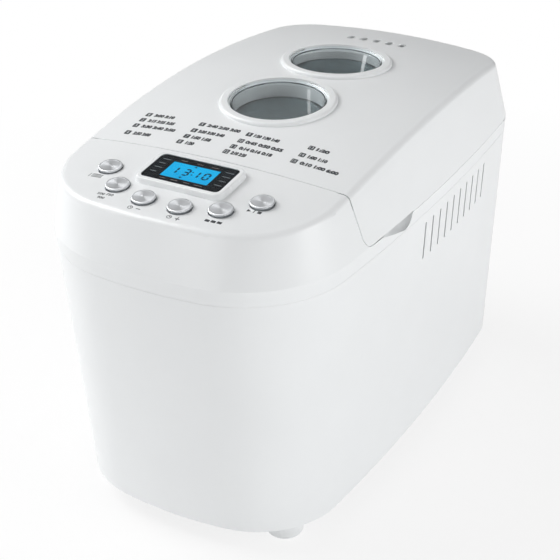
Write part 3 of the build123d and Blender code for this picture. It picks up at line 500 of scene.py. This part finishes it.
def screen_figures():
    """The running time in four figures with its colon and two pointers."""
    middle = DISPLAY_Y + 0.2
    shapes = []
    for sign, x in (("1", -13.0), ("3", -3.2), ("1", 4.6), ("0", 13.0)):
        shapes += [(*slab(bar, *FIGURE_LAYER), x, middle) for bar in figure(sign)]
    for x, y in ((1.2, 1.7), (1.9, -1.7)):
        shapes.append((*slab(box_outline(1.2, 1.2), *FIGURE_LAYER), x, middle + y))
    for x, y, turn in ((-0.4, 8.4, 1), (-4.0, -7.6, -1)):
        pointer = [(-1.3, -0.8 * turn), (1.3, -0.8 * turn), (0, 1.0 * turn)][::turn]
        shapes.append((*slab(pointer, *FIGURE_LAYER), x, middle + y))
    points, faces = gather(shapes, lambda x, y, h: over_panel(x, y, GLASS_TOP + h))
    piece("screen_figures", points, faces, crystal_dark, "machine")


def mask_marks():
    """Short dashes round the screen: four at each side, and a row above and below it."""
    sides = [(*slab(box_outline(wide, 0.65, 0.25), *MARK_LAYER), x + wide / 2 * (1 if x < 0 else -1), DISPLAY_Y + y)
             for x, rows in ((-29.0, (6.6, 5.4, 6.2, 5.0)), (29.6, (6.8, 6.4, 5.6, 6.0)))
             for wide, y in zip(rows, (10.4, 4.7, -1.1, -6.9))]
    rows = [(*slab(box_outline(wide, 0.6, 0.25), *MARK_LAYER), x, DISPLAY_Y + y)
            for y, marks in ((12.7, ((-12.5, 5.5), (0.5, 5.0), (13.0, 6.0))),
                             (-12.7, ((-15.0, 5.0), (-5.5, 6.0), (4.5, 5.0), (14.0, 6.5))))
            for x, wide in marks]
    for name, shapes, ink in (("mask_side_marks", sides, ink_dim), ("mask_row_marks", rows, ink_amber)):
        points, faces = gather(shapes, lambda x, y, h: over_panel(x, y, MASK_TOP + h))
        piece(name, points, faces, ink, "machine")


def display_cover():
    """Clear cover with a fine bevel, a hair above the mask."""
    full, top = (box_outline(*(side - 2 * inset for side in LENS_SIZE), LENS_CORNER - inset, 8) for inset in (0, 0.25))
    shape = stack((full, MASK_TOP + 0.05), (full, DISPLAY_TOP - 0.25), (top, DISPLAY_TOP))
    points, faces = gather([(*shape, 0, DISPLAY_Y)], over_panel)
    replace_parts(piece("display_cover", points, faces, lens_clear, "machine"), "display_lens")


screen_figures()
mask_marks()
display_cover()

# Windows: clear cups of the depth that shows, with tinted films of painted shade, white collars, and panes over them,
# ringed by cords of painted gap shadow
WINDOW_RADIUS, WINDOW_STEP, WINDOW_CLEAR = 39.0, 1.5, 0.3
CUP_WALL, CUP_FLOOR, CUP_DRAFT, FILM_LAYER = 1.6, 3.0, 2, (0.02, 0.12)
PANE_RADIUS, PANE_HIGH, PANE_THICK, PANE_DRAFT = 36.3, -0.2, 1.2, 0.46
WINDOWS = {"front": (-22.2, 16.3), "rear": (75.2, 12.6)}


def window(end, y, depth):
    """Cup with its flange on the step of the lid, collar under the lid skin, and pane curved as the crown."""
    flange, shelf, floor = WINDOW_RADIUS - WINDOW_CLEAR, 1 - WALL, CUP_FLOOR - depth
    neck = flange - WINDOW_STEP
    inner = neck - CUP_DRAFT - CUP_WALL
    cup = lathe([(0, -depth), (neck - CUP_DRAFT, -depth), (neck, shelf), (flange, shelf), (flange, 0.8),
                 (flange - 2, 0.8), (neck - CUP_WALL, shelf), (inner, floor), (0, floor)])
    inside, outside = neck + WINDOW_CLEAR, neck + WINDOW_CLEAR + 2
    collar = lathe([(inside, -WALL / 2), (outside, -WALL / 2), (outside, 2 - depth), (inside, 2 - depth),
                    (inside, -WALL / 2)])
    film_low, film_high = (floor + rise for rise in FILM_LAYER)
    film_edge = inner - WINDOW_CLEAR
    # The film's tint is painted shade: it darkens the view into the oven
    film = lathe([(0, film_low), (film_edge, film_low), (film_edge, film_high), (0, film_high)])
    radii = [PANE_RADIUS * i / 8 for i in range(9)]
    under = [(max(r - PANE_DRAFT * (r == PANE_RADIUS), 0.0), PANE_HIGH - PANE_THICK) for r in radii]
    pane = lathe(under + [(r, PANE_HIGH) for r in reversed(radii)])
    # The cord's grey is painted shade: the shadow line of the gap round the pane
    gap_shade_cord = lathe([(PANE_RADIUS + out, PANE_HIGH + rise) for out, rise in
                    ((-0.3, 0.02), (0.1, 0.1), (0.1, 0.4), (-0.2, 0.4), (-0.3, 0.02))])
    tip = math.asin((y - CROWN_Y) / CROWN_RADIUS)
    plane = Matrix.Translation((0, y, crown_height(0, y))) @ Matrix.Rotation(-tip, 4, "X")

    def level(px, py, h):
        return (plane @ Vector((px, py, h))) * MM

    def bent(px, py, h):
        return on_lid(px, y + py, h)

    for name, shape, finish, slot, place in (("cup", cup, window_clear, "window_clear", level),
                                             ("collar", collar, lid_white, "lid_white", level),
                                             ("film", film, film_painted_shade, "window_clear", level),
                                             ("pane", pane, pane_clear, "window_clear", bent),
                                             ("gap_shade_cord", gap_shade_cord, gap_shade_cord_grey, "window_clear", bent)):
        points, faces = gather([(*shape, 0, 0)], place)
        made = piece("window_" + name + "_" + end, points, faces, finish, "lid")
        smooth(made, 40)
        if name == "cup":
            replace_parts(made, "window_" + end)


for end, (spot_y, deep) in WINDOWS.items():
    window(end, spot_y, deep)

# White strips in the joint round the shells and in the joints at the front and sides of the lid: painted light that
# fills the gaps, so that the joints show less shade
joint_painted_light = surface("Painted_light_joint_fill_white", "#F4F5F6", "#EFF1F2", 20, (0.5, 0.6), 1.0, 0.004)
SEAM_HALF, SEAM_DEEP, SEAM_SUNK, LID_GAP = 0.3, 0.6, 0.22, 1.2
LID_EDGE, LID_FRONT, LID_LEAN, LID_CORNER = 234.5, 43.5, 0.27, 13.0
SCOOP_FRONT, SCOOP_REAR, FILL_REAR, FILL_TOP = -91.5, -31.5, 170.0, 33.0
# The lid's strips stay clear of the lid, bite into the housing and lie a little below the outer face
FILL_NEAR, FILL_FAR, FILL_SUNK, SIDE_SUNK = 0.15, LID_GAP + 0.05, 0.35, 0.45


def shell_seal():
    """Band of painted light in the groove between the lower body and the upper housing, along the outline that the body
    has there.
    """
    body, top = nodes["lower_body"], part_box("lower_body")[1][2] / MM
    spots = [(body.matrix_world @ v.co) / MM for v in body.data.vertices]
    edge = [p.xy for p in spots if abs(p.z - (top - SEAM_HALF)) < 0.05]
    line = [edge[i] for i in convex_hull_2d(edge)]
    ways = [(line[(i + 1) % len(line)] - line[i - 1]).normalized() for i in range(len(line))]

    def inset(deep):
        return [tuple(p + Vector((-way.y, way.x)) * deep) for p, way in zip(line, ways)]

    out, back = inset(SEAM_SUNK), inset(SEAM_DEEP)
    points, faces = stack((out, top - SEAM_HALF), (out, top + SEAM_HALF), (back, top + SEAM_HALF),
                          (back, top - SEAM_HALF), (out, top - SEAM_HALF))
    piece("shell_seal", [Vector(p) * MM for p in points], faces[2:], joint_painted_light, "machine")


def seal_strip(name, points):
    """Closed strip through sections of four points each, on the machine's body."""
    faces = [(0, 1, 2, 3), tuple(len(points) - i for i in (1, 2, 3, 4))]
    for start in range(0, len(points) - 4, 4):
        faces += [(start + i, start + (i + 1) % 4, start + 4 + (i + 1) % 4, start + 4 + i) for i in range(4)]
    piece(name, points, faces, joint_painted_light, "machine")


def section(sunk, deep):
    """Corners of a lid strip's section: distance from the lid, and depth below the outer face."""
    return (FILL_NEAR, sunk), (FILL_FAR, sunk), (FILL_FAR, deep), (FILL_NEAR, deep)


def lid_seal():
    """Strip of painted light in the joint along the lid's front edge, a little below the crown."""
    points = []
    for x in range(-100, 101, 5):
        for off, deep in section(FILL_SUNK, 2.5):
            up = on_lid(x, PANEL_Y, -deep).z / MM - LID_EDGE
            points.append(on_lid(x, PANEL_Y + LID_LEAN * (LID_FRONT - up) - off * math.hypot(1, LID_LEAN), -deep))
    seal_strip("lid_seal", points)


def side_seals():
    """Strips of painted light on the housing's rim under the lid's sides, ahead of and behind the finger scoops."""
    housing = nodes["upper_housing"]
    tree = BVHTree.FromPolygons([housing.matrix_world @ v.co / MM for v in housing.data.vertices],
                                [tuple(f.vertices) for f in housing.data.polygons])
    slant = math.atan(LID_LEAN)
    low_y = PANEL_Y + LID_LEAN * LID_FRONT
    centre_y = low_y + LID_CORNER * math.tan(math.pi / 4 - slant / 2)
    # Each place on a path: its y and z on the lid's edge, the way out of the lid, and how deep the strip lies
    ahead = []
    for step in range(9):
        up = FILL_TOP - (FILL_TOP - 1.05 * LID_CORNER) * step / 8
        ahead.append((low_y - LID_LEAN * up, LID_EDGE + up, -math.cos(slant), -math.sin(slant), SIDE_SUNK))
    for step in range(11):
        angle = math.pi + slant + (math.pi / 2 - slant) * step / 10
        across, rise = math.cos(angle), math.sin(angle)
        ahead.append((centre_y + LID_CORNER * across, LID_EDGE + LID_CORNER * (1 + rise), across, rise,
                      SIDE_SUNK + 0.1 * step))
    ahead.append((SCOOP_FRONT, LID_EDGE, 0.0, -1.0, 2 * FILL_SUNK))
    behind = [(SCOOP_REAR + (FILL_REAR - SCOOP_REAR) * step / 30, LID_EDGE, 0.0, -1.0, FILL_SUNK)
              for step in range(31)]
    below = LID_GAP + 0.6
    for side, hand in ((-1, "left"), (1, "right")):
        for place, path in (("front", ahead), ("rear", behind)):
            points = []
            for y, z, across, rise, sunk in path:
                start = Vector((200 * side, y + below * across, z + below * rise))
                outer = tree.ray_cast(start, Vector((-side, 0, 0)))[0].x
                points += [Vector((outer - side * deep, y + off * across, z + off * rise)) * MM
                           for off, deep in section(sunk, 2.2)]
            seal_strip(f"side_joint_light_{hand}_{place}", points)


shell_seal()
lid_seal()
side_seals()


# Screws with cross recesses, heads down, in the lid liner and in the feet
def screw(head_radius, head, shank):
    """Points and faces of a pan-head screw with its seat at height 0, its head above and its shank below."""
    def cross(reach, half):
        ends = [(reach, -half), (reach, half), (half, half), (half, reach), (-half, reach), (-half, half),
                (-reach, half), (-reach, -half), (-half, -half), (-half, -reach), (half, -reach), (half, -half)]
        return [(x + (ends[(i + 1) % 12][0] - x) * k / 4, y + (ends[(i + 1) % 12][1] - y) * k / 4)
                for i, (x, y) in enumerate(ends) for k in range(4)]

    mouth = cross(0.6 * head_radius, 0.16 * head_radius)

    def round_at(radius):
        return [(radius * x / math.hypot(x, y), radius * y / math.hypot(x, y)) for x, y in mouth]

    return stack((round_at(0.8), -shank), (round_at(1.5), 1.2 - shank), (round_at(1.5), 0), (round_at(head_radius), 0),
                 (round_at(head_radius), 0.4 * head), (round_at(0.92 * head_radius), 0.8 * head),
                 (round_at(0.75 * head_radius), head), (mouth, head),
                 (cross(0.45 * head_radius, 0.1 * head_radius), head - 1.1))


def screws(node, body, head_radius, head, rows):
    """Screws in place of a node's plain ones: two lines of them, each with rows along its length."""
    low, high = ([value / MM for value in corner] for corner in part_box(node))
    seat = low[2] + head
    shapes = [(*screw(head_radius, head, high[2] - seat), x, -y) for x in (low[0] + head_radius, high[0] - head_radius)
              for y in rows(low[1] + head_radius, high[1] - head_radius)]
    points, faces = gather(shapes, lambda x, y, h: Vector((x, -y, seat - h)) * MM)
    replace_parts(piece(node + "_recessed", points, faces, finishes["steel"], body), node)


screws("lid_screws", "lid", 3.4, 1.8, lambda front, rear: (front, (front + rear) / 2, rear))
screws("base_screws", "machine", 3.0, 2.0, lambda front, rear: (front, front + 12, rear - 12, rear))

# Printed list on the lid: numbered squares, each with the times of its programme
PRINT_LOW, PRINT_HIGH = -0.12, 0.07
SQUARE = 4.6
LIST_ROWS = [
    (-82.5, -76.5, -77.3, -59.5, "3:00 3:10"), (-82.5, -85.3, -77.3, -54.0, "3:15 3:25 3:35"),
    (-82.5, -94.3, -77.3, -47.7, "3:30 3:40 3:50"), (-82.5, -105.4, -77.3, -62.3, "2:50 3:00"),
    (-33.2, -79.1, -28.3, -0.3, "2:40 2:50 3:00"), (-34.0, -89.2, -30.1, -8.1, "3:20 3:30 3:40"),
    (-34.6, -98.5, -30.1, -14.1, "1:50 1:58"), (-35.3, -107.0, -30.1, -23.2, "1:20"),
    (8.0, -80.1, 12.2, 33.0, "1:20 1:30 1:40"), (7.0, -90.6, 11.0, 41.6, "0:45 0:50 0:55"),
    (6.0, -99.6, 10.9, 37.8, "0:14 0:16 0:18"), (4.7, -107.6, 8.8, 21.1, "2:10 2:20"),
    (58.2, -77.6, 62.4, 72.6, "1:20"), (56.7, -89.1, 61.5, 76.8, "1:00 1:10"),
    (55.4, -98.8, 60.2, 90.6, "0:10 1:00 6:00"),
]


def programme_list():
    """Squares, their numbers and the rows of times, laid on the crown."""
    squares, numbers, times = [], [], []
    for index, (x, y, start, end, text) in enumerate(LIST_ROWS, 1):
        squares.append((*slab(box_outline(SQUARE, SQUARE + 0.6, 0.5), PRINT_LOW, PRINT_HIGH), x, y))
        wide = 1.0 if index == 1 else 1.6 if index < 10 else 2.9
        numbers.append((*row_of_letters(str(index), 3.2, wide, PRINT_LOW, PRINT_HIGH + 0.03), x - wide / 2, y - 1.6))
        times.append((*row_of_letters(text, 4.3, end - start, PRINT_LOW, PRINT_HIGH, 0.06), start, y - 2.15))
    for name, shapes, ink in (("programme_squares", squares, ink_grey), ("programme_numbers", numbers, ink_white),
                              ("programme_times", times, ink_grey)):
        points, faces = gather(shapes, on_lid)
        piece(name, points, faces, ink, "lid")


programme_list()


def arc_band(radius, wide, start, end, steps=18):
    """Outline of a curved stroke about the origin, angles in degrees."""
    angles = [math.radians(start + (end - start) * i / steps) for i in range(steps + 1)]
    out = [((radius + wide / 2) * math.cos(a), (radius + wide / 2) * math.sin(a)) for a in angles]
    return out + [((radius - wide / 2) * math.cos(a), (radius - wide / 2) * math.sin(a)) for a in reversed(angles)]


def clock(x, y):
    """Small clock face: a ring in two halves and two hands."""
    bars = [arc_band(1.7, 0.45, 0, 180), arc_band(1.7, 0.45, 180, 360),
            [(-0.2, -0.2), (0.2, -0.2), (0.2, 1.1), (-0.2, 1.1)], [(0.2, -0.2), (1.0, -0.2), (1.0, 0.2), (0.2, 0.2)]]
    return [(*slab(bar, PRINT_LOW, PRINT_HIGH), x, y) for bar in bars]


def panel_signs():
    """Plain signs by the buttons: a list, sizes, clock with less and more, shades of crust, start and stop."""
    def bar(x, y, wide, tall, corner=0.0):
        return (*slab(box_outline(wide, tall, corner), PRINT_LOW, PRINT_HIGH), x, y)

    signs = [bar(-65.6, -51.6 + step, 8.5, 0.7) for step in (-1.6, 0.0, 1.6)]
    signs += [bar(-71.8, -51.6 + step, 0.9, 0.7) for step in (-1.6, 0.0, 1.6)]
    for text, x, y in (("500", -50.4, -73.6), ("750", -43.4, -73.0), ("900", -47.5, -78.2)):
        signs.append((*row_of_letters(text, 2.7, 5.8, PRINT_LOW, PRINT_HIGH, 0.012), x, y))
    signs += clock(-17.5, -80.6) + [bar(-11.0, -80.6, 3.4, 0.7)]
    signs += clock(14.0, -80.6) + [bar(20.5, -80.6, 3.4, 0.7), bar(20.5, -79.4, 0.7, 1.69), bar(20.5, -81.8, 0.7, 1.69)]
    signs += [bar(39.6 + 4.4 * i, -73.6 + 0.6 * i, 3.4, 2.6, 0.3) for i in range(3)]
    signs.append((*slab([(-1.3, -1.5), (1.5, 0), (-1.3, 1.5)], PRINT_LOW, PRINT_HIGH), 58.5, -50.6))
    signs += [bar(62.2, -50.0, 0.5, 3.4), bar(66.0, -49.6, 2.7, 2.7)]
    points, faces = gather(signs, on_panel)
    piece("panel_signs", points, faces, ink_grey, "machine")


panel_signs()

# Studio: pale floor, white surround and soft lamps. The surround has a level as it lights, and others as dim walls
# and a bright ceiling mirror it; the floor's glow lifts the light that it throws back.
SURROUND, MIRRORED = 0.3, (0.14, 0.9)
FLOOR_GLOW = 0.4


def seen_straight(tree):
    """1 for rays from the camera, also through clear plastic, and 0 for rays that a surface has thrown back."""
    rays = add(tree, "LightPath").outputs
    turned = add(tree, "Math", {0: rays["Ray Depth"], 1: rays["Transmission Depth"]}, operation="SUBTRACT").outputs[0]
    clear = add(tree, "Math", {0: turned, 1: 1.5}, operation="LESS_THAN").outputs[0]
    through = add(tree, "Math", {0: clear, 1: rays["Is Transmission Ray"]}, operation="MULTIPLY").outputs[0]
    return add(tree, "Math", {0: through, 1: rays["Is Camera Ray"]}, operation="MAXIMUM").outputs[0]


def studio():
    """Floor that keeps a soft shadow and turns to plain white away from the machine."""
    bpy.ops.mesh.primitive_circle_add(vertices=96, radius=3.0, fill_type="NGON")
    floor = bpy.context.object
    floor.name = "studio_floor"
    material = bpy.data.materials.new("Paper_matt_white")
    material.use_nodes = True
    tree = material.node_tree
    tree.nodes.remove(tree.nodes["Principled BSDF"])
    place = add(tree, "TexCoord").outputs["Object"]
    away = add(tree, "VectorMath", {0: place}, operation="LENGTH").outputs["Value"]
    white = add(tree, "MapRange", {0: away, 1: 0.25, 2: 0.8, 3: 0.8, 4: 1.0}).outputs[0]
    share = add(tree, "MapRange", {0: seen_straight(tree), 3: FLOOR_GLOW, 4: white}).outputs[0]
    paper = add(tree, "BsdfDiffuse", {"Color": linear("#F4F4F4")}).outputs[0]
    plain = add(tree, "Emission", {"Color": (1, 1, 1, 1), "Strength": 1.0}).outputs[0]
    both = add(tree, "MixShader", {0: share, 1: paper, 2: plain}).outputs[0]
    tree.links.new(both, tree.nodes["Material Output"].inputs["Surface"])
    floor.data.materials.append(material)

    world = bpy.data.worlds.new("white_surround")
    scene.world = world
    world.use_nodes = True
    tree = world.node_tree
    rays = add(tree, "LightPath")
    upward = add(tree, "SeparateXYZ", {0: add(tree, "TexCoord").outputs["Generated"]}).outputs["Z"]
    ceiling = add(tree, "MapRange", {0: upward, 1: 0.35, 2: 0.85, 3: MIRRORED[0], 4: MIRRORED[1]}).outputs[0]
    glint = add(tree, "Math", {0: rays.outputs["Is Glossy Ray"], 1: rays.outputs["Is Transmission Ray"]},
                operation="MAXIMUM").outputs[0]
    mirrored = add(tree, "MapRange", {0: glint, 3: SURROUND, 4: ceiling}).outputs[0]
    level = add(tree, "MapRange", {0: seen_straight(tree), 3: mirrored, 4: 1.0}).outputs[0]
    tree.links.new(level, tree.nodes["Background"].inputs["Strength"])
    tree.nodes["Background"].inputs["Color"].default_value = (1, 1, 1, 1)


def lamp(name, spot, aim, size, power):
    """Soft rectangular lamp at a spot in metres, facing a point."""
    light = bpy.data.lights.new(name, "AREA")
    light.shape, light.size, light.size_y, light.energy = "RECTANGLE", size[0], size[1], power
    holder = bpy.data.objects.new(name, light)
    scene.collection.objects.link(holder)
    holder.location = spot
    holder.rotation_euler = (Vector(aim) - Vector(spot)).to_track_quat("-Z", "Y").to_euler()


studio()
lamp("key_left", (-1.0, -0.32, 1.4), (0, -0.02, 0.25), (1.0, 1.0), 13.2)
lamp("rim_left", (-1.35, -0.1, 1.05), (0, 0, 0.25), (0.8, 0.8), 8)
lamp("fill_right", (1.8, 0.1, 0.47), (0, 0, 0.15), (0.9, 1.2), 16.5)
lamp("fill_front", (-0.2, -2.0, 0.38), (0, 0, 0.13), (1.0, 0.7), 6.8)
# Narrow strips whose mirror images stand upright in the window panes
lamp("strip_front_pane", (-0.523, 0.999, 0.906), (0.02, -0.01, 0.296), (0.008, 0.17), 0.0045)
lamp("strip_rear_pane", (-0.493, 1.226, 0.651), (0.02, 0.085, 0.297), (0.008, 0.17), 0.0045)

camera = bpy.data.objects.new("camera", bpy.data.cameras.new("camera"))
scene.collection.objects.link(camera)
scene.camera = camera
camera.location = (0.4873, -0.8913, 0.6792)
camera.rotation_euler = (math.radians(61.59), 0, math.radians(28.73))
camera.data.lens, camera.data.sensor_width = 89.03, 36
camera.data.shift_x, camera.data.shift_y = -0.0196, -0.0008
scene.view_settings.view_transform = "Standard"
